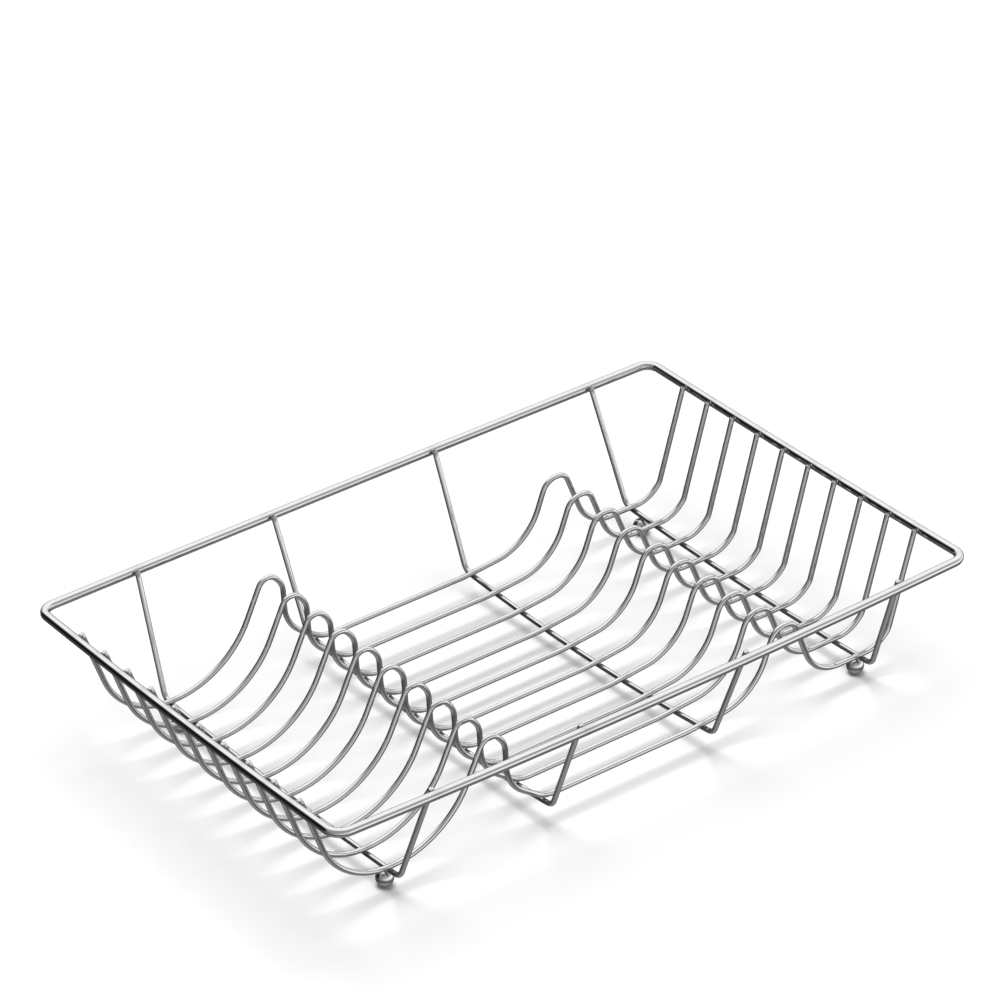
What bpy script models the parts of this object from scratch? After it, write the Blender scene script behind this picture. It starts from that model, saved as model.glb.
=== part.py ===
"""Dish drying rack of welded steel wire.

Ten wave-shaped wires run the length of the rack, side by side, and their two rows of humps hold
plates on edge. Four U-shaped cross wires carry them from below, and the ends of all fourteen wires
are welded to the inner side of one heavier rim wire. Four balls under the outer cross wires are the
feet. Every wire is its own solid, with a narrow gap where a weld joins it to the next.

Units are metres. X runs along the rack, Y from front (minus) to back, Z up from the table.
"""

import math

import bpy
from mathutils import Vector

# Wire and ball sizes
RIM_RADIUS = 0.0030
WIRE_RADIUS = 0.00175
FOOT_RADIUS = 0.0057
FOOT_LAND_DEPTH = 0.0055  # from the ball's centre down to the small flat it stands on
WELD_GAP = 0.0003

# Rim: centre line, and how far each side bows outward at its middle
RIM_LENGTH = 0.474
RIM_WIDTH = 0.314
RIM_CORNER_RADIUS = 0.0095
RIM_BOW_FRONT = 0.0047
RIM_BOW_BACK = 0.0008
RIM_BOW_LEFT = 0.0020
RIM_BOW_RIGHT = -0.0011
TIP_HEIGHT = 0.0018  # wire ends stand this far above the rim's centre line

# Long wires
WAVE_COUNT = 10
WAVE_PITCH = 0.0256
OUTER_WAVE_Y = WAVE_PITCH * (WAVE_COUNT - 1) / 2

# The outermost long wire's corners before rounding: x, height above the rim's centre line, how much
# lower the middle of the rack hangs, and the bend radius.
WAVE_CORNERS = (
    (-0.2085, -0.0719, 0.0025, 0.050),  # left end wall meets the left bay's floor
    (-0.1319, -0.0719, 0.0025, 0.064),  # left bay's floor sweeps up to the first hump
    (-0.0987, -0.0064, 0.0023, 0.0077),  # tip of the first hump
    (-0.0862, -0.0213, 0.0023, 0.015),  # shoulder above the first hump's upright side
    (-0.0856, -0.0525, 0.0032, 0.027),  # foot of the upright side
    (-0.0586, -0.0715, 0.0049, 0.024),  # start of the middle bay's floor
    (0.0520, -0.0715, 0.0049, 0.080),  # middle floor starts to climb gently
    (0.1027, -0.0670, 0.0043, 0.040),  # climb turns up to the second hump
    (0.1200, -0.0245, 0.0040, 0.012),  # left shoulder of the second hump
    (0.1345, -0.0262, 0.0040, 0.008),  # right shoulder of the second hump
    (0.1514, -0.0719, 0.0025, 0.027),  # second hump meets the right bay's floor
    (0.2011, -0.0719, 0.0025, 0.024),  # right bay's floor sweeps up
    (0.2108, -0.0622, 0.0025, 0.009),  # slight knee, then the right end wall
)

# Cross wires, left to right: x at the front and back bends, then x where the front and back ends
# reach the rim. The two middle ones lie a little askew.
CROSS_WIRES = (
    (-0.1720, -0.1720, -0.1677, -0.1677),
    (-0.0593, -0.0640, -0.0605, -0.0652),
    (0.0641, 0.0599, 0.0643, 0.0599),
    (0.1900, 0.1900, 0.1853, 0.1853),
)
CROSS_BEND_Y = 0.124
CROSS_BEND_RADIUS = 0.008
FOOT_Y = 0.108

# Facets
RIM_SIDES = 12
WIRE_SIDES = 8
ARC_STEP = math.radians(15)

# Distance between the centre lines of two wires that are welded together
RIM_REACH = RIM_RADIUS + WIRE_RADIUS + WELD_GAP
CROSSING_REACH = 2 * WIRE_RADIUS + WELD_GAP
FOOT_REACH = FOOT_RADIUS + WIRE_RADIUS + WELD_GAP


def hang(y):
    """How far towards the rack's middle y is: 1 on the centre line and 0 at the outermost wires."""
    return 1 - (y / OUTER_WAVE_Y) ** 2


def rim_x(y, side):
    """Centre line of the rim's left (-1) or right (+1) side at this y."""
    bow = RIM_BOW_RIGHT if side > 0 else RIM_BOW_LEFT
    return side * (RIM_LENGTH / 2 + bow * (1 - (2 * y / RIM_WIDTH) ** 2))


def rim_y(x, side):
    """Centre line of the rim's front (-1) or back (+1) side at this x."""
    bow = RIM_BOW_BACK if side > 0 else RIM_BOW_FRONT
    return side * (RIM_WIDTH / 2 + bow * (1 - (2 * x / RIM_LENGTH) ** 2))


def wall_top(foot, rim, side):
    """(across, height) of the end of a straight wall that rises from foot = (across, height) and
    passes just inside the rim's round section, which is centred at (rim, 0)."""
    run = side * (rim - foot[0])
    rise = -foot[1]
    lean = math.atan2(rise, run) + math.asin(RIM_REACH / math.hypot(run, rise))
    return foot[0] + side * (rise + TIP_HEIGHT) / math.tan(lean), TIP_HEIGHT


def rounded(corners):
    """Points of a path whose inner corners (point, radius) are replaced by tangent arcs."""
    points = [corners[0][0]]
    for before, (corner, radius), after in zip(corners, corners[1:], corners[2:]):
        back = (before[0] - corner).normalized()
        ahead = (after[0] - corner).normalized()
        turn = math.pi - back.angle(ahead)
        centre = corner + (back + ahead).normalized() * radius / math.cos(turn / 2)
        start = corner + back * radius * math.tan(turn / 2)
        arm = start - centre
        steps = max(1, math.ceil(turn / ARC_STEP))
        for step in range(steps + 1):
            angle = turn * step / steps
            points.append(centre + arm * math.cos(angle) - back * radius * math.sin(angle))
    points.append(corners[-1][0])
    return points


def wave_path(y):
    """Centre line of the long wire at this y, in its own plane: x and height above the rim's."""
    corners = [
        (Vector((x, 0, z - drop * hang(y))), radius) for x, z, drop, radius in WAVE_CORNERS
    ]
    for side, index in ((-1, 0), (1, -1)):
        foot = corners[index][0]
        top = wall_top((foot.x, foot.z), rim_x(y, side), side)
        end = (Vector((top[0], 0, top[1])), 0)
        corners.insert(0 if side < 0 else len(corners), end)
    return rounded(corners)


def height_under_wave(x, y):
    """Height at which a cross wire at x just rests against the long wire at y from below."""
    heights = []
    path = wave_path(y)
    for first, second in zip(path, path[1:]):
        for step in range(20):
            point = first.lerp(second, step / 20)
            aside = abs(point.x - x)
            if aside < CROSSING_REACH:
                heights.append(point.z - math.sqrt(CROSSING_REACH**2 - aside**2))
    return min(heights)


def cross_path(front_x, back_x, front_top_x, back_top_x):
    """Centre line of a cross wire, from its front end to its back end."""
    ends = []
    for side, bend_x, top_x in ((-1, front_x, front_top_x), (1, back_x, back_top_x)):
        bend = Vector((bend_x, side * CROSS_BEND_Y, height_under_wave(bend_x, CROSS_BEND_Y)))
        top = wall_top((bend.y, bend.z), rim_y(top_x, side), side)
        ends.append([(Vector((top_x, top[0], top[1])), 0), (bend, CROSS_BEND_RADIUS)])
    floor = []
    for wave in range(WAVE_COUNT):
        y = (wave - (WAVE_COUNT - 1) / 2) * WAVE_PITCH
        x = front_x + (back_x - front_x) * (y / CROSS_BEND_Y + 1) / 2
        floor.append(Vector((x, y, height_under_wave(x, y))))
    front = rounded(ends[0] + [(floor[0], 0)])
    back = rounded([(floor[-1], 0)] + ends[1][::-1])
    return front[:-1] + floor + back[1:]


def rim_path():
    """Centre line of the rim, once round, with its four rounded corners and slightly bowed sides."""
    half_x = RIM_LENGTH / 2 - RIM_CORNER_RADIUS
    half_y = RIM_WIDTH / 2 - RIM_CORNER_RADIUS
    points = []
    for number, (sign_x, sign_y) in enumerate(((1, 1), (-1, 1), (-1, -1), (1, -1))):
        centre = Vector((sign_x * half_x, sign_y * half_y, 0))
        for step in range(7):
            angle = math.pi / 2 * (number + step / 6)
            arm = Vector((math.cos(angle), math.sin(angle), 0))
            points.append(centre + arm * RIM_CORNER_RADIUS)
        straight = half_x if sign_x == sign_y else half_y
        along = Vector((-sign_x, 0, 0)) if sign_x == sign_y else Vector((0, -sign_y, 0))
        start = points[-1]
        for step in range(1, 6):
            points.append(start + along * 2 * straight * step / 6)
    bowed = []
    for point in points:
        side_x = math.copysign(1, point.x)
        side_y = math.copysign(1, point.y)
        out_x = rim_x(point.y, side_x) - side_x * RIM_LENGTH / 2
        out_y = rim_y(point.x, side_y) - side_y * RIM_WIDTH / 2
        bowed.append(point + Vector((out_x, out_y, 0)))
    return bowed


def tube_mesh(name, path, radius, sides, closed=False):
    """A wire of this radius along the path, with flat ends, or joined end to end when closed."""
    count = len(path)
    verts = []
    across = None
    for index, point in enumerate(path):
        before = path[index - 1] if index or closed else None
        after = path[(index + 1) % count] if index < count - 1 or closed else None
        arriving = (point - before).normalized() if before else (after - point).normalized()
        leaving = (after - point).normalized() if after else arriving
        ahead = (arriving + leaving).normalized()
        if across is None:
            across = Vector((0, 0, 1)) if abs(ahead.z) < 0.5 else Vector((0, 1, 0))
            if abs(ahead.dot(across)) > 0.99:
                across = Vector((1, 0, 0))
        across = (across - ahead * across.dot(ahead)).normalized()
        bend = arriving - leaving
        mitre = 1 / max(0.5, ahead.dot(arriving))
        for side in range(sides):
            angle = 2 * math.pi * side / sides
            arm = across * math.cos(angle) + ahead.cross(across) * math.sin(angle)
            if bend.length > 1e-6:
                inward = (bend - ahead * bend.dot(ahead)).normalized()
                arm = arm + inward * arm.dot(inward) * (mitre - 1)
            verts.append(point + arm * radius)
    faces = []
    for index in range(count if closed else count - 1):
        ring = index * sides
        following = (index + 1) % count * sides
        for side in range(sides):
            turned = (side + 1) % sides
            faces.append((ring + side, ring + turned, following + turned, following + side))
    if not closed:
        faces.append(tuple(reversed(range(sides))))
        faces.append(tuple(range((count - 1) * sides, count * sides)))
    mesh = bpy.data.meshes.new(name)
    mesh.from_pydata(verts, [], faces)
    for polygon in mesh.polygons:
        polygon.use_smooth = len(polygon.vertices) == 4
    return mesh


def foot_mesh(name):
    """A ball with a small flat land at the bottom and a matching one hidden under the weld."""
    sides = 16
    rings = 8
    tilt = math.acos(FOOT_LAND_DEPTH / FOOT_RADIUS)
    verts = []
    for ring in range(rings + 1):
        angle = -math.pi / 2 + tilt + (math.pi - 2 * tilt) * ring / rings
        for side in range(sides):
            turn = 2 * math.pi * side / sides
            spread = FOOT_RADIUS * math.cos(angle)
            height = FOOT_RADIUS * math.sin(angle)
            verts.append((spread * math.cos(turn), spread * math.sin(turn), height))
    faces = [tuple(reversed(range(sides))), tuple(range(rings * sides, (rings + 1) * sides))]
    for ring in range(rings):
        for side in range(sides):
            turned = (side + 1) % sides
            low = ring * sides
            high = low + sides
            faces.append((low + side, low + turned, high + turned, high + side))
    mesh = bpy.data.meshes.new(name)
    mesh.from_pydata(verts, [], faces)
    for polygon in mesh.polygons:
        polygon.use_smooth = len(polygon.vertices) == 4
    return mesh


def chrome(name):
    """Polished chrome plate."""
    material = bpy.data.materials.new(name)
    material.use_nodes = True
    shader = material.node_tree.nodes["Principled BSDF"]
    shader.inputs["Base Color"].default_value = (0.80, 0.81, 0.82, 1)
    shader.inputs["Metallic"].default_value = 1.0
    shader.inputs["Roughness"].default_value = 0.12
    return material


def place(name, mesh, material, location):
    obj = bpy.data.objects.new(name, mesh)
    obj.location = location
    if not mesh.materials:
        mesh.materials.append(material)
    bpy.context.scene.collection.objects.link(obj)
    return obj


for old in list(bpy.data.objects):
    bpy.data.objects.remove(old)

foot_cross_height = height_under_wave(CROSS_WIRES[0][0], FOOT_Y)
rim_height = FOOT_LAND_DEPTH + FOOT_REACH - foot_cross_height

rim_mesh = tube_mesh("rim_wire", rim_path(), RIM_RADIUS, RIM_SIDES, closed=True)
place("rim_wire", rim_mesh, chrome("rim_chrome"), (0, 0, rim_height))

wave_chrome = chrome("long_wire_chrome")
for number in range(WAVE_COUNT):
    name = f"long_wire_{number + 1:02d}"
    y = ((WAVE_COUNT - 1) / 2 - number) * WAVE_PITCH
    mesh = tube_mesh(name, wave_path(y), WIRE_RADIUS, WIRE_SIDES)
    place(name, mesh, wave_chrome, (0, y, rim_height))

cross_chrome = chrome("cross_wire_chrome")
for number, stations in enumerate(CROSS_WIRES):
    name = f"cross_wire_{number + 1}"
    middle_x = (stations[0] + stations[1]) / 2
    path = [point - Vector((middle_x, 0, 0)) for point in cross_path(*stations)]
    mesh = tube_mesh(name, path, WIRE_RADIUS, WIRE_SIDES)
    place(name, mesh, cross_chrome, (middle_x, 0, rim_height))

foot_chrome = chrome("foot_chrome")
ball = foot_mesh("ball_foot")
for end_name, foot_x in (("left", CROSS_WIRES[0][0]), ("right", CROSS_WIRES[-1][0])):
    for side_name, side in (("front", -1), ("back", 1)):
        spot = (foot_x, side * FOOT_Y, FOOT_LAND_DEPTH)
        place(f"ball_foot_{side_name}_{end_name}", ball, foot_chrome, spot)
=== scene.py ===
import math

import bpy
import numpy as np
from mathutils import Matrix, Vector


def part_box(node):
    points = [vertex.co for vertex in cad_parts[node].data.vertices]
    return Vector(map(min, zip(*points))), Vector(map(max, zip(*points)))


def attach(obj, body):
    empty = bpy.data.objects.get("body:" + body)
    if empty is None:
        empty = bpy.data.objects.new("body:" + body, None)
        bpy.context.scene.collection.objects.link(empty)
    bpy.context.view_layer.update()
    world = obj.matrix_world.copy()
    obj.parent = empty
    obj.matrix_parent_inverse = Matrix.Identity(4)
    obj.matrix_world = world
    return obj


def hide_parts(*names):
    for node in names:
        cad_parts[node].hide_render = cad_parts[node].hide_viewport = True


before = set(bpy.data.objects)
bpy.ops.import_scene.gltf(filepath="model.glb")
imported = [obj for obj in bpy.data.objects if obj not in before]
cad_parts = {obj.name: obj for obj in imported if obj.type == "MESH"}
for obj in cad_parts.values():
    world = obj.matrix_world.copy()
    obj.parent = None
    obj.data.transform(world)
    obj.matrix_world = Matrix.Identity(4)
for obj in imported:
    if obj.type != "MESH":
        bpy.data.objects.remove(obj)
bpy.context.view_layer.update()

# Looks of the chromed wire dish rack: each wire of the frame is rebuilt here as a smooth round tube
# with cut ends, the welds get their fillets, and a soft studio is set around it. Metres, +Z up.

# ---------------------------------------------------------------- sizes, as in the frame's design

RIM_RADIUS = 0.0030
WIRE_RADIUS = 0.00175
WELD_GAP = 0.0003

RIM_LENGTH = 0.474
RIM_WIDTH = 0.314
RIM_CORNER_RADIUS = 0.0095
RIM_BOW_FRONT = 0.0047
RIM_BOW_BACK = 0.0008
RIM_BOW_LEFT = 0.0020
RIM_BOW_RIGHT = -0.0011
TIP_HEIGHT = 0.0018

# The outermost long wire's corners: x, height above the rim, extra drop at mid rack, bend radius
WAVE_CORNERS = (
    (-0.2085, -0.0719, 0.0025, 0.050),
    (-0.1319, -0.0719, 0.0025, 0.064),
    (-0.0987, -0.0064, 0.0023, 0.0077),
    (-0.0862, -0.0213, 0.0023, 0.015),
    (-0.0856, -0.0525, 0.0032, 0.027),
    (-0.0586, -0.0715, 0.0049, 0.024),
    (0.0520, -0.0715, 0.0049, 0.080),
    (0.1027, -0.0670, 0.0043, 0.040),
    (0.1200, -0.0245, 0.0040, 0.012),
    (0.1345, -0.0262, 0.0040, 0.008),
    (0.1514, -0.0719, 0.0025, 0.027),
    (0.2011, -0.0719, 0.0025, 0.024),
    (0.2108, -0.0622, 0.0025, 0.009),
)

# Cross wires: x at the front and back bends, then where the front and back ends meet the rim
CROSS_WIRES = (
    (-0.1720, -0.1720, -0.1677, -0.1677),
    (-0.0593, -0.0640, -0.0605, -0.0652),
    (0.0641, 0.0599, 0.0643, 0.0599),
    (0.1900, 0.1900, 0.1853, 0.1853),
)
CROSS_BEND_Y = 0.124
CROSS_BEND_RADIUS = 0.008

RIM_REACH = RIM_RADIUS + WIRE_RADIUS + WELD_GAP
CROSSING_REACH = 2 * WIRE_RADIUS + WELD_GAP

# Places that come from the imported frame
LONG_WIRES = [f"long_wire_{number:02d}" for number in range(1, 11)]
CROSS_NAMES = [f"cross_wire_{number}" for number in range(1, 5)]
FEET = [f"ball_foot_{side}_{end}" for end in ("left", "right") for side in ("front", "back")]


def middle(node):
    """Middle of a node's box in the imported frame."""
    low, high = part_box(node)
    return (low + high) / 2


RIM_HEIGHT = middle("rim_wire").z
WAVE_Y = [middle(name).y for name in LONG_WIRES]
OUTER_WAVE_Y = max(WAVE_Y)

# Surface detail
ARC_STEP = math.radians(4)  # most turn between two rings of a bend
RING_SPACING = 0.004  # most distance between two rings on a straight run
WIRE_SIDES = 24
RIM_SIDES = 40
RIM_CORNER_STEPS = 22
RIM_STRAIGHT_STEPS = 60
BALL_SIDES = 48
BALL_RINGS = 30
END_CHAMFER = 0.0003  # on a wire's cut end
HEAT_REACH = 0.005  # how far along a wire the weld's dull, warm ring reaches
BALL_HEAT_REACH = 0.0030  # how far over a ball its weld's dull patch reaches

# Weld fillets: half widths, and their waist and rooting as shares of a width and a wire's radius
CROSSING_BEAD = 0.0011
RIM_BEAD = 0.0013
BALL_BEAD = 0.0013
BEAD_WAIST = 0.72
BEAD_ROOT = 0.97
BEAD_SIDES = 20
BEAD_LEVELS = 7

MM = 1000  # surface coordinates are in millimetres
UP = Vector((0, 0, 1))


# ---------------------------------------------------------------- centre lines


def hang(y):
    """1 on the rack's centre line and 0 at the outermost long wires."""
    return 1 - (y / OUTER_WAVE_Y) ** 2


def rim_x(y, side):
    """Centre line of the rim's left (-1) or right (+1) side at this y."""
    bow = RIM_BOW_RIGHT if side > 0 else RIM_BOW_LEFT
    return side * (RIM_LENGTH / 2 + bow * (1 - (2 * y / RIM_WIDTH) ** 2))


def rim_y(x, side):
    """Centre line of the rim's front (-1) or back (+1) side at this x."""
    bow = RIM_BOW_BACK if side > 0 else RIM_BOW_FRONT
    return side * (RIM_WIDTH / 2 + bow * (1 - (2 * x / RIM_LENGTH) ** 2))


def wall_lean(foot, rim, side):
    """Angle above the horizon of a wall that rises from foot and touches the rim's inner side."""
    run = side * (rim - foot[0])
    rise = -foot[1]
    return math.atan2(rise, run) + math.asin(RIM_REACH / math.hypot(run, rise))


def wall_top(foot, rim, side):
    """(across, height) of the end of that wall's wire."""
    lean = wall_lean(foot, rim, side)
    return foot[0] + side * (TIP_HEIGHT - foot[1]) / math.tan(lean), TIP_HEIGHT


def rounded(corners):
    """Points of a path whose inner corners (point, radius) are replaced by tangent arcs."""
    points = [corners[0][0]]
    for before, (corner, radius), after in zip(corners, corners[1:], corners[2:]):
        back = (before[0] - corner).normalized()
        ahead = (after[0] - corner).normalized()
        turn = math.pi - back.angle(ahead)
        centre = corner + (back + ahead).normalized() * radius / math.cos(turn / 2)
        start = corner + back * radius * math.tan(turn / 2)
        arm = start - centre
        steps = max(2, math.ceil(turn / ARC_STEP))
        for step in range(steps + 1):
            angle = turn * step / steps
            points.append(centre + arm * math.cos(angle) - back * radius * math.sin(angle))
    points.append(corners[-1][0])
    return points


def wave_path(y):
    """Centre line of the long wire at this y: x and height above the rim's centre line."""
    corners = [
        (Vector((x, y, z - drop * hang(y))), radius) for x, z, drop, radius in WAVE_CORNERS
    ]
    for side, index in ((-1, 0), (1, -1)):
        foot = corners[index][0]
        top = wall_top((foot.x, foot.z), rim_x(y, side), side)
        corners.insert(0 if side < 0 else len(corners), (Vector((top[0], y, top[1])), 0))
    return rounded(corners)


def height_under_wave(x, y):
    """Height at which a cross wire at x just rests against the long wire at y from below."""
    heights = []
    path = wave_path(y)
    for first, second in zip(path, path[1:]):
        starts_after = min(first.x, second.x) > x + CROSSING_REACH
        ends_before = max(first.x, second.x) < x - CROSSING_REACH
        if starts_after or ends_before:
            continue
        for step in range(20):
            point = first.lerp(second, step / 20)
            aside = abs(point.x - x)
            if aside < CROSSING_REACH:
                heights.append(point.z - math.sqrt(CROSSING_REACH**2 - aside**2))
    return min(heights)


def crossings(front_x, back_x):
    """Where a cross wire's centre line passes under each long wire, front to back."""
    found = []
    for y in sorted(WAVE_Y):
        x = front_x + (back_x - front_x) * (y / CROSS_BEND_Y + 1) / 2
        found.append(Vector((x, y, height_under_wave(x, y))))
    return found


def cross_path(front_x, back_x, front_top_x, back_top_x):
    """Centre line of a cross wire, from its front end to its back end."""
    ends = []
    for side, bend_x, top_x in ((-1, front_x, front_top_x), (1, back_x, back_top_x)):
        bend = Vector((bend_x, side * CROSS_BEND_Y, height_under_wave(bend_x, CROSS_BEND_Y)))
        top = wall_top((bend.y, bend.z), rim_y(top_x, side), side)
        ends.append([(Vector((top_x, top[0], top[1])), 0), (bend, CROSS_BEND_RADIUS)])
    floor = crossings(front_x, back_x)
    front = rounded(ends[0] + [(floor[0], 0)])
    back = rounded([(floor[-1], 0)] + ends[1][::-1])
    return front[:-1] + floor + back[1:]


def rim_path():
    """Centre line of the rim, once round, with rounded corners and slightly bowed sides."""
    half_x = RIM_LENGTH / 2 - RIM_CORNER_RADIUS
    half_y = RIM_WIDTH / 2 - RIM_CORNER_RADIUS
    points = []
    for number, (sign_x, sign_y) in enumerate(((1, 1), (-1, 1), (-1, -1), (1, -1))):
        centre = Vector((sign_x * half_x, sign_y * half_y, 0))
        for step in range(RIM_CORNER_STEPS + 1):
            angle = math.pi / 2 * (number + step / RIM_CORNER_STEPS)
            arm = Vector((math.cos(angle), math.sin(angle), 0))
            points.append(centre + arm * RIM_CORNER_RADIUS)
        straight = half_x if sign_x == sign_y else half_y
        along = Vector((-sign_x, 0, 0)) if sign_x == sign_y else Vector((0, -sign_y, 0))
        start = points[-1]
        for step in range(1, RIM_STRAIGHT_STEPS):
            points.append(start + along * 2 * straight * step / RIM_STRAIGHT_STEPS)
    bowed = []
    for point in points:
        side_x = math.copysign(1, point.x)
        side_y = math.copysign(1, point.y)
        out_x = rim_x(point.y, side_x) - side_x * RIM_LENGTH / 2
        out_y = rim_y(point.x, side_y) - side_y * RIM_WIDTH / 2
        bowed.append(point + Vector((out_x, out_y, 0)))
    return bowed


def resampled(path):
    """The same line with more points on its straight runs."""
    points = [path[0]]
    for first, second in zip(path, path[1:]):
        steps = max(1, math.ceil((second - first).length / RING_SPACING))
        points += [first.lerp(second, step / steps) for step in range(1, steps + 1)]
    return points


# ---------------------------------------------------------------- meshes


def new_object(name, verts, faces, uvs=None, heat=None):
    """A smooth-shaded piece. uvs is one (along, around) pair in millimetres per face corner."""
    mesh = bpy.data.meshes.new(name)
    mesh.from_pydata([tuple(v) for v in verts], [], faces)
    mesh.polygons.foreach_set("use_smooth", [len(f) == 4 for f in faces])
    if uvs is not None:
        layer = mesh.uv_layers.new(name="along_around")
        layer.data.foreach_set("uv", np.array(uvs, np.float32).ravel())
    shade = mesh.attributes.new("weld_heat", "FLOAT", "POINT")
    values = np.zeros(len(verts), np.float32) if heat is None else np.array(heat, np.float32)
    shade.data.foreach_set("value", values)
    obj = bpy.data.objects.new(name, mesh)
    bpy.context.scene.collection.objects.link(obj)
    return obj


def tube(name, path, radius, sides, closed=False, welds=()):
    """A round wire along the path. An open one gets cut ends with a small chamfer. welds are the
    points where it is welded, which leave a dull ring on it."""
    rings = [(point, radius) for point in path]
    if not closed:
        start = (path[0] - path[1]).normalized()
        finish = (path[-1] - path[-2]).normalized()
        first = [(path[0], radius - END_CHAMFER), (path[0] - start * END_CHAMFER, radius)]
        last = [(path[-1] - finish * END_CHAMFER, radius), (path[-1], radius - END_CHAMFER)]
        rings = first + rings[1:-1] + last
    count = len(rings)
    verts, travelled, distance = [], [], 0.0
    across = None
    for index, (point, width) in enumerate(rings):
        before = rings[index - 1][0] if index or closed else None
        after = rings[(index + 1) % count][0] if index < count - 1 or closed else None
        arriving = (point - before).normalized() if before else (after - point).normalized()
        leaving = (after - point).normalized() if after else arriving
        ahead = (arriving + leaving).normalized()
        if across is None:
            across = UP if abs(ahead.z) < 0.7 else Vector((0, 1, 0))
        across = (across - ahead * across.dot(ahead)).normalized()
        if index:
            distance += (point - before).length
        travelled.append(distance)
        for side in range(sides):
            angle = 2 * math.pi * side / sides
            arm = across * math.cos(angle) + ahead.cross(across) * math.sin(angle)
            verts.append(point + arm * width)
    faces, uvs = [], []
    for index in range(count if closed else count - 1):
        ring = index * sides
        following = (index + 1) % count * sides
        near = travelled[index] * MM
        far = near + (rings[(index + 1) % count][0] - rings[index][0]).length * MM
        for side in range(sides):
            turned = (side + 1) % sides
            faces.append((ring + side, ring + turned, following + turned, following + side))
            low = 2 * MM * math.pi * radius * side / sides
            high = 2 * MM * math.pi * radius * (side + 1) / sides
            uvs += [(near, low), (near, high), (far, high), (far, low)]
    if not closed:
        faces.append(tuple(reversed(range(sides))))
        faces.append(tuple(range((count - 1) * sides, count * sides)))
        uvs += [(0.0, 0.0)] * sides + [(travelled[-1] * MM, 0.0)] * sides
    places = np.array([tuple(v) for v in verts])
    heat = np.zeros(len(verts))
    for weld in welds:
        reach = np.linalg.norm(places - np.array(weld), axis=1) / (radius + HEAT_REACH)
        heat = np.maximum(heat, np.clip(1 - reach, 0, 1) ** 2 * 2)
    return new_object(name, verts, faces, uvs, np.clip(heat, 0, 1))


def ring_faces(levels, sides, base=0):
    """The quads between rings of points that lie one above the other."""
    faces = []
    for level in range(levels - 1):
        row, above = base + level * sides, base + (level + 1) * sides
        for side in range(sides):
            turned = (side + 1) % sides
            faces.append((row + side, row + turned, above + turned, above + side))
    return faces


class Beads:
    """Weld fillets gathered into one mesh, so that a row of welds is one piece."""

    def __init__(self):
        self.verts = []
        self.faces = []

    def fillet(self, low, high, low_axis, high_axis, low_radius, size):
        """The metal that joins a round wire or ball to the long or cross wire beside it. low and
        high are the nearest points of their centre lines, the axes their directions, and size the
        fillet's half width."""
        up = (high - low).normalized()
        along = (low_axis - up * low_axis.dot(up)).normalized()
        beside = up.cross(along)
        high_along = (high_axis - up * high_axis.dot(up)).normalized()
        span = (high - low).length
        base = len(self.verts)
        for level in range(BEAD_LEVELS):
            share = level / (BEAD_LEVELS - 1)
            width = size * (BEAD_WAIST + (1 - BEAD_WAIST) * (2 * share - 1) ** 2)
            for turn in range(BEAD_SIDES):
                angle = 2 * math.pi * turn / BEAD_SIDES
                spread = along * math.cos(angle) + beside * math.sin(angle)
                low_aside = abs(spread.dot(beside)) * size
                high_aside = abs(spread.dot(up.cross(high_along))) * size
                floor = math.sqrt(max(0.0, low_radius**2 - low_aside**2)) * BEAD_ROOT
                roof = span - math.sqrt(max(0.0, WIRE_RADIUS**2 - high_aside**2)) * BEAD_ROOT
                height = floor + (roof - floor) * share
                self.verts.append(low + up * height + spread * width)
        self.faces += ring_faces(BEAD_LEVELS, BEAD_SIDES, base)
        self.faces.append(tuple(reversed(range(base, base + BEAD_SIDES))))
        top = base + (BEAD_LEVELS - 1) * BEAD_SIDES
        self.faces.append(tuple(range(top, top + BEAD_SIDES)))

    def build(self, name):
        return new_object(name, self.verts, self.faces, heat=np.ones(len(self.verts)))


def in_frame(points):
    """Moves a path from heights above the rim's centre line to heights above the table."""
    return [point + UP * RIM_HEIGHT for point in points]


def foot_ball(name, weld):
    """A turned steel ball with its small worn flat, as a finely divided surface."""
    low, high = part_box(name)
    radius = (high.x - low.x) / 2
    centre = middle(name)
    tilt = math.acos((high.z - low.z) / 2 / radius)
    verts = []
    for ring in range(BALL_RINGS + 1):
        angle = -math.pi / 2 + tilt + (math.pi - 2 * tilt) * ring / BALL_RINGS
        spread = radius * math.cos(angle)
        height = radius * math.sin(angle)
        for side in range(BALL_SIDES):
            turn = 2 * math.pi * side / BALL_SIDES
            arm = Vector((spread * math.cos(turn), spread * math.sin(turn), height))
            verts.append(centre + arm)
    top = BALL_RINGS * BALL_SIDES
    faces = [tuple(reversed(range(BALL_SIDES))), tuple(range(top, top + BALL_SIDES))]
    faces += ring_faces(BALL_RINGS + 1, BALL_SIDES)
    heat = [max(0.0, 1 - (vert - weld).length / BALL_HEAT_REACH) for vert in verts]
    return new_object(name + "_ball", verts, faces, heat=heat)


# ---------------------------------------------------------------- materials


def link(tree, source, target):
    tree.links.new(source, target)


def add_node(tree, kind, **settings):
    """A new shader node. Its settings are input values by name, with _ for each space."""
    node = tree.nodes.new("ShaderNode" + kind)
    for name, value in settings.items():
        node.inputs[name.replace("_", " ")].default_value = value
    return node


def math_node(tree, operation, *terms):
    """A Math node fed by sockets or by plain numbers."""
    node = tree.nodes.new("ShaderNodeMath")
    node.operation = operation
    for socket, term in zip(node.inputs, terms):
        if isinstance(term, (int, float)):
            socket.default_value = term
        else:
            link(tree, term, socket)
    return node.outputs["Value"]


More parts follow.
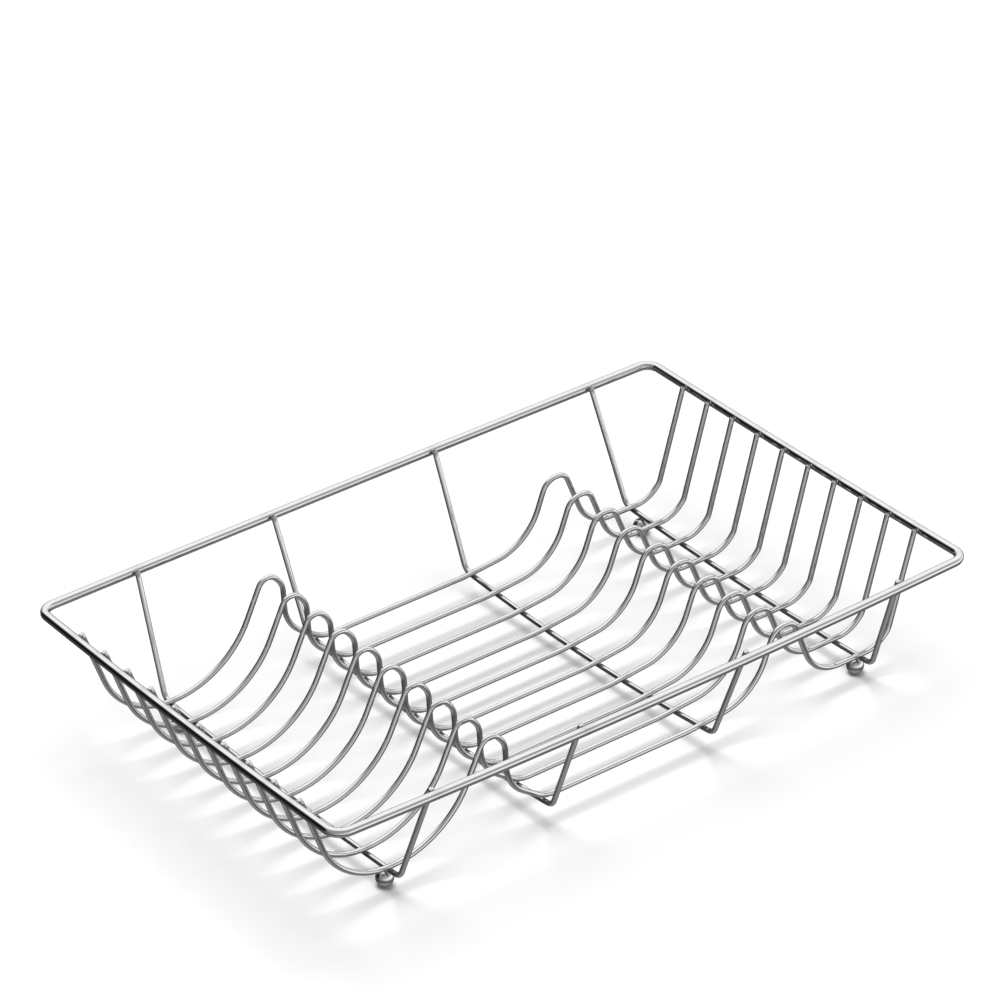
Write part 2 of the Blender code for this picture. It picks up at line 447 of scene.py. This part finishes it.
def map_range(tree, value, from_low, from_high, to_low, to_high, smooth=True):
    """A value carried from one range to another, held at the ends."""
    node = tree.nodes.new("ShaderNodeMapRange")
    if smooth:
        node.interpolation_type = "SMOOTHSTEP"
    node.inputs["From Min"].default_value = from_low
    node.inputs["From Max"].default_value = from_high
    node.inputs["To Min"].default_value = to_low
    node.inputs["To Max"].default_value = to_high
    link(tree, value, node.inputs["Value"])
    return node.outputs["Result"]


def mixed_colour(tree, share, first, second):
    """Two colours mixed by a share from 0 to 1."""
    node = tree.nodes.new("ShaderNodeMix")
    node.data_type = "RGBA"
    node.inputs["A"].default_value = first
    node.inputs["B"].default_value = second
    link(tree, share, node.inputs["Factor"])
    return node.outputs["Result"]


def chrome(name, seed, grain_along=True):
    """Bright chrome plate over drawn wire: faint drawing lines along it, soft smudges and dried
    water marks in its gloss, and a duller, slightly warm ring round each weld."""
    material = bpy.data.materials.new(name)
    material.use_nodes = True
    tree = material.node_tree
    shader = tree.nodes["Principled BSDF"]
    shader.inputs["Metallic"].default_value = 1.0
    shader.inputs["Specular Tint"].default_value = (0.42, 0.43, 0.43, 1)

    place = tree.nodes.new("ShaderNodeTexCoord")
    shift = add_node(tree, "Mapping", Location=(seed * 0.37, seed * 0.11, seed * 0.23))
    link(tree, place.outputs["Object"], shift.inputs["Vector"])

    # Smudges: broad, soft changes of gloss
    smudge = add_node(tree, "TexNoise", Scale=38.0, Detail=3.0)
    link(tree, shift.outputs["Vector"], smudge.inputs["Vector"])
    gloss = map_range(tree, smudge.outputs["Fac"], 0.35, 0.75, 0.025, 0.075, smooth=False)

    # Dried water marks: small rings scattered over the plate
    drops = add_node(tree, "TexVoronoi", Scale=170.0)
    link(tree, shift.outputs["Vector"], drops.inputs["Vector"])
    mark = tree.nodes.new("ShaderNodeValToRGB")
    inner, ring = mark.color_ramp.elements
    inner.position, inner.color = 0.16, (0, 0, 0, 1)
    ring.position, ring.color = 0.20, (1, 1, 1, 1)
    mark.color_ramp.elements.new(0.25).color = (0, 0, 0, 1)
    link(tree, drops.outputs["Distance"], mark.inputs["Fac"])
    spotted = math_node(tree, "MULTIPLY_ADD", mark.outputs["Color"], 0.07, gloss)

    # Welds: plate over heated steel is duller and a little darker and warmer
    weld = tree.nodes.new("ShaderNodeAttribute")
    weld.attribute_name = "weld_heat"
    grime = add_node(tree, "TexNoise", Scale=420.0, Detail=4.0)
    link(tree, shift.outputs["Vector"], grime.inputs["Vector"])
    patchy = math_node(tree, "MULTIPLY", weld.outputs["Fac"], grime.outputs["Fac"])
    dull = math_node(tree, "MULTIPLY_ADD", patchy, 0.22, spotted)
    link(tree, dull, shader.inputs["Roughness"])
    tint = mixed_colour(tree, patchy, (0.52, 0.53, 0.525, 1), (0.36, 0.345, 0.32, 1))
    link(tree, tint, shader.inputs["Base Color"])

    # Drawing lines: very fine, long scratches along the wire; pits on the balls and welds
    if grain_along:
        lines = add_node(tree, "TexNoise", Scale=1.0, Detail=2.0)
        stretch = add_node(tree, "Mapping", Scale=(0.03, 3.2, 1.0))
        link(tree, place.outputs["UV"], stretch.inputs["Vector"])
        link(tree, stretch.outputs["Vector"], lines.inputs["Vector"])
    else:
        lines = add_node(tree, "TexNoise", Scale=520.0, Detail=2.0)
        link(tree, shift.outputs["Vector"], lines.inputs["Vector"])
    bump = add_node(tree, "Bump", Strength=0.15, Distance=0.00002)
    relief = math_node(tree, "MULTIPLY_ADD", patchy, 2.5, lines.outputs["Fac"])
    link(tree, relief, bump.inputs["Height"])
    link(tree, bump.outputs["Normal"], shader.inputs["Normal"])
    return material


def floor_material():
    """A matt white worktop with the faintest mottling."""
    material = bpy.data.materials.new("pale_floor")
    material.use_nodes = True
    tree = material.node_tree
    shader = tree.nodes["Principled BSDF"]
    shader.inputs["Roughness"].default_value = 0.7
    shader.inputs["Specular IOR Level"].default_value = 0.2
    place = tree.nodes.new("ShaderNodeTexCoord")
    mottle = add_node(tree, "TexNoise", Scale=9.0)
    link(tree, place.outputs["Object"], mottle.inputs["Vector"])
    tint = mixed_colour(tree, mottle.outputs["Fac"], (0.44, 0.44, 0.44, 1), (0.46, 0.46, 0.46, 1))
    link(tree, tint, shader.inputs["Base Color"])
    return material


def dress(piece, material, slot, *nodes):
    """Gives a piece its material and its place in the frame."""
    piece.data.materials.append(material)
    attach(piece, "root")
    if nodes:
        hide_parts(*nodes)


# ---------------------------------------------------------------- the rack


def direction_at(path, place):
    """Direction of the path where it passes nearest to a place."""
    nearest = min(range(1, len(path) - 1), key=lambda index: (path[index] - place).length)
    return (path[nearest + 1] - path[nearest - 1]).normalized()


def nearest_on(path, place):
    """The point of the path nearest to a place."""
    best = None
    for first, second in zip(path, path[1:]):
        run = second - first
        share = max(0.0, min(1.0, (place - first).dot(run) / run.length_squared))
        point = first + run * share
        if best is None or (point - place).length < (best - place).length:
            best = point
    return best


def wall_weld(foot, rim, side):
    """Nearest point of a leaning wall's centre line to the rim's, as (across, height)."""
    lean = wall_lean(foot, rim, side)
    return rim - side * RIM_REACH * math.sin(lean), RIM_REACH * math.cos(lean)


def weld_to_rim(beads, station, outward, foot, rim, side):
    """Adds the fillet between the rim and the wall that leans on it, and returns the places of
    their two centre lines there. station is where along the rim, outward the wall's axis, and the
    rest is as in wall_lean."""
    lean = wall_lean(foot, rim, side)
    across, height = wall_weld(foot, rim, side)
    rim_spot = station + outward * rim + UP * RIM_HEIGHT
    wire_spot = station + outward * across + UP * (RIM_HEIGHT + height)
    wall = outward * side * math.cos(lean) + UP * math.sin(lean)
    rim_axis = Vector((outward.y, outward.x, 0))
    beads.fillet(rim_spot, wire_spot, rim_axis, wall, RIM_RADIUS, RIM_BEAD)
    return rim_spot, wire_spot


def weld_long_ends(rim_welds, long_welds):
    """The two rows of welds between the long wires' ends and the rim, left then right."""
    rows = [Beads(), Beads()]
    for y, wire_welds in zip(WAVE_Y, long_welds):
        station = Vector((0, y, 0))
        for row, side, corner in zip(rows, (-1, 1), (WAVE_CORNERS[0], WAVE_CORNERS[-1])):
            foot = (corner[0], corner[1] - corner[2] * hang(y))
            spots = weld_to_rim(row, station, Vector((1, 0, 0)), foot, rim_x(y, side), side)
            rim_welds.append(spots[0])
            wire_welds.append(spots[1])
    return rows


def weld_cross_wire(stations, cross, waves, rim_welds, long_welds):
    """A cross wire's welds: their fillets, and where they are on the wire itself."""
    front_x, back_x, front_top_x, back_top_x = stations
    beads = Beads()
    welds = []
    for spot in in_frame(crossings(front_x, back_x)):
        number = min(range(len(WAVE_Y)), key=lambda index: abs(WAVE_Y[index] - spot.y))
        above = nearest_on(waves[number], spot)
        cross_axis = direction_at(cross, spot)
        wave_axis = direction_at(waves[number], above)
        beads.fillet(spot, above, cross_axis, wave_axis, WIRE_RADIUS, CROSSING_BEAD)
        welds.append(spot)
        long_welds[number].append(above)
    for side, bend_x, top_x in ((-1, front_x, front_top_x), (1, back_x, back_top_x)):
        station = Vector((top_x, 0, 0))
        foot = (side * CROSS_BEND_Y, height_under_wave(bend_x, CROSS_BEND_Y))
        spots = weld_to_rim(beads, station, Vector((0, 1, 0)), foot, rim_y(top_x, side), side)
        rim_welds.append(spots[0])
        welds.append(spots[1])
    return beads, welds


def build_rack():
    rim_chrome = chrome("rim_chrome", 1)
    long_chrome = chrome("long_wire_chrome", 2)
    cross_chrome = chrome("cross_wire_chrome", 3)
    foot_chrome = chrome("foot_chrome", 4, grain_along=False)
    weld_chrome = chrome("weld_chrome", 5, grain_along=False)

    crosses = [in_frame(cross_path(*stations)) for stations in CROSS_WIRES]
    waves = [in_frame(wave_path(y)) for y in WAVE_Y]
    rim_welds = []
    long_welds = [[] for _ in WAVE_Y]
    end_rows = weld_long_ends(rim_welds, long_welds)

    for name, stations, path in zip(CROSS_NAMES, CROSS_WIRES, crosses):
        beads, welds = weld_cross_wire(stations, path, waves, rim_welds, long_welds)
        wire = tube(name + "_drawn", resampled(path), WIRE_RADIUS, WIRE_SIDES, welds=welds)
        dress(wire, cross_chrome, "cross_wire_chrome", name)
        dress(beads.build(name + "_welds"), weld_chrome, "cross_wire_chrome")

    for name, path, welds in zip(LONG_WIRES, waves, long_welds):
        wire = tube(name + "_drawn", resampled(path), WIRE_RADIUS, WIRE_SIDES, welds=welds)
        dress(wire, long_chrome, "long_wire_chrome", name)
    for row, label in zip(end_rows, ("left", "right")):
        dress(row.build(f"rim_welds_{label}"), weld_chrome, "long_wire_chrome")

    path = in_frame(rim_path())
    rim = tube("rim_wire_drawn", path, RIM_RADIUS, RIM_SIDES, closed=True, welds=rim_welds)
    dress(rim, rim_chrome, "rim_chrome", "rim_wire")

    # Ball feet, each with the collar of metal that its weld leaves
    beads = Beads()
    for name in FEET:
        low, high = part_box(name)
        centre = middle(name)
        radius = (high.x - low.x) / 2
        path = crosses[0] if centre.x < 0 else crosses[-1]
        spot = nearest_on(path, centre)
        beads.fillet(centre, spot, Vector((1, 0, 0)), direction_at(path, spot), radius, BALL_BEAD)
        dress(foot_ball(name, spot), foot_chrome, "foot_chrome", name)
    dress(beads.build("foot_welds"), weld_chrome, "foot_chrome")


# ---------------------------------------------------------------- studio

CAMERA_AZIMUTH = math.radians(-35.70)
CAMERA_ELEVATION = math.radians(31.11)
CAMERA_ROLL = math.radians(-2.13)
CAMERA_DISTANCE = 3.3400
CAMERA_LENS = 196.3  # on a 36 mm sensor
AIM_RIGHT = -0.0022  # from the middle of the rim to the picture's centre, across and up the view
AIM_UP = 0.0511

# The studio as the chrome mirrors it. Levels are radiances and heights are sines of the angle above
# the horizon. An edge and a full are cosines of the angle from an aim, where a light starts and ends
# coming up.
STRIP_AIM = (0.78, -0.62, 0.0)
STRIP_MIDDLE = 1.0  # level across from the aim
STRIP_SWING = 0.85  # how much brighter at the aim
STRIP_HEIGHT = -0.01
STRIP_SPREAD = 0.32
FLAG_AIM = (-0.645, 0.728, 0.229)
FLAG_EDGE = 0.80
FLAG_FULL = 0.94
FLAG_DARKNESS = 0.93
DIM_BELOW = 0.10  # level from the horizon down to SHALLOW_BELOW
SHALLOW_BELOW = 0.55
DIM_UNDERFOOT = 0.46  # level from STEEP_BELOW down
STEEP_BELOW = 0.98
DIM_ABOVE = 0.50  # level from DIM_FULL_HEIGHT up
DIM_FULL_HEIGHT = 0.5
TOP_AIM = (0.40, 0.45, 0.80)
TOP_EDGE = 0.45
TOP_FULL = 0.85
TOP_LEVEL = 1.7

# The softbox that lights the floor, and the floor
KEY_PLACE = (0.1, 0.3, 3.0)
KEY_SIZE = 1.7
KEY_POWER = 142
FLOOR_HALF = 6.0
FLOOR_TILES = 12


def build_camera():
    """The camera at the photo's viewing angle, aimed a little above the middle of the rim."""
    level = math.cos(CAMERA_ELEVATION)
    back_x = math.sin(CAMERA_AZIMUTH) * level
    back_y = -math.cos(CAMERA_AZIMUTH) * level
    back = Vector((back_x, back_y, math.sin(CAMERA_ELEVATION)))
    right = (-back).cross(UP).normalized()
    up = right.cross(-back)
    rolled_right = right * math.cos(CAMERA_ROLL) + up * math.sin(CAMERA_ROLL)
    rolled_up = up * math.cos(CAMERA_ROLL) - right * math.sin(CAMERA_ROLL)
    aim = UP * RIM_HEIGHT + rolled_right * AIM_RIGHT + rolled_up * AIM_UP
    data = bpy.data.cameras.new("photo_camera")
    data.lens = CAMERA_LENS
    data.sensor_width = 36
    data.clip_end = 50
    camera = bpy.data.objects.new("photo_camera", data)
    turn = Matrix((rolled_right, rolled_up, back)).transposed()
    camera.matrix_world = Matrix.Translation(aim + back * CAMERA_DISTANCE) @ turn.to_4x4()
    bpy.context.scene.collection.objects.link(camera)
    bpy.context.scene.camera = camera


def build_key():
    """The softbox that lights the floor. The chrome doesn't mirror it."""
    data = bpy.data.lights.new("key_softbox", "AREA")
    data.shape = "RECTANGLE"
    data.size = KEY_SIZE
    data.size_y = KEY_SIZE
    data.energy = KEY_POWER
    lamp = bpy.data.objects.new("key_softbox", data)
    lamp.location = KEY_PLACE
    lamp.rotation_mode = "QUATERNION"
    lamp.rotation_quaternion = Vector(KEY_PLACE).to_track_quat("Z", "Y")
    lamp.visible_glossy = False
    bpy.context.scene.collection.objects.link(lamp)


def towards(tree, direction, aim):
    """How nearly a direction points at aim: the dot product of the two."""
    node = tree.nodes.new("ShaderNodeVectorMath")
    node.operation = "DOT_PRODUCT"
    link(tree, direction, node.inputs[0])
    node.inputs[1].default_value = aim
    return node.outputs["Value"]


def blend(tree, share, first, second):
    """A level between two: first where share is 0, second where it is 1."""
    return math_node(tree, "MULTIPLY_ADD", math_node(tree, "SUBTRACT", second, first), share, first)


def build_world():
    """The studio that the chrome mirrors: one big soft light above and behind, a bright strip low
    down that is brightest on the near right side, a dark flag on the far left, and a dim rest."""
    world = bpy.data.worlds.new("studio")
    bpy.context.scene.world = world
    world.use_nodes = True
    tree = world.node_tree
    background = tree.nodes["Background"]
    place = tree.nodes.new("ShaderNodeTexCoord").outputs["Generated"]

    # Straight down it is middling, just under the horizon dark, and middling again well above it
    height = towards(tree, place, UP)
    steep, shallow = -STEEP_BELOW, -SHALLOW_BELOW
    below = map_range(tree, height, steep, shallow, DIM_UNDERFOOT, DIM_BELOW)
    rising = map_range(tree, height, 0.0, DIM_FULL_HEIGHT, 0.0, 1.0)
    level = blend(tree, rising, below, DIM_ABOVE)

    # The strip fades away from its own height on both sides
    strip = math_node(tree, "MULTIPLY_ADD", towards(tree, place, STRIP_AIM), STRIP_SWING, STRIP_MIDDLE)
    off = math_node(tree, "DIVIDE", math_node(tree, "SUBTRACT", height, STRIP_HEIGHT), STRIP_SPREAD)
    fall = math_node(tree, "MULTIPLY", math_node(tree, "MULTIPLY", off, off), -1.0)
    level = blend(tree, math_node(tree, "EXPONENT", fall), level, strip)

    in_top = map_range(tree, towards(tree, place, TOP_AIM), TOP_EDGE, TOP_FULL, 0.0, 1.0)
    level = blend(tree, in_top, level, TOP_LEVEL)

    flag_aim = towards(tree, place, FLAG_AIM)
    past_flag = map_range(tree, flag_aim, FLAG_EDGE, FLAG_FULL, 1.0, 1.0 - FLAG_DARKNESS)
    level = math_node(tree, "MULTIPLY", level, past_flag)
    link(tree, level, background.inputs["Strength"])
    background.inputs["Color"].default_value = (1.0, 1.0, 1.0, 1.0)


def build_floor():
    """The pale worktop. The chrome doesn't mirror it."""
    mesh = bpy.data.meshes.new("floor")
    grid = [FLOOR_HALF * (2 * step / FLOOR_TILES - 1) for step in range(FLOOR_TILES + 1)]
    verts = [(x, y, 0.0) for y in grid for x in grid]
    faces = []
    for row in range(FLOOR_TILES):
        for column in range(FLOOR_TILES):
            corner = row * (FLOOR_TILES + 1) + column
            beyond = corner + FLOOR_TILES + 1
            faces.append((corner, corner + 1, beyond + 1, beyond))
    mesh.from_pydata(verts, [], faces)
    mesh.materials.append(floor_material())
    floor = bpy.data.objects.new("floor", mesh)
    bpy.context.scene.collection.objects.link(floor)
    floor.visible_glossy = False


build_rack()
build_floor()
build_world()
build_key()
build_camera()
bpy.context.scene.view_settings.view_transform = "Standard"
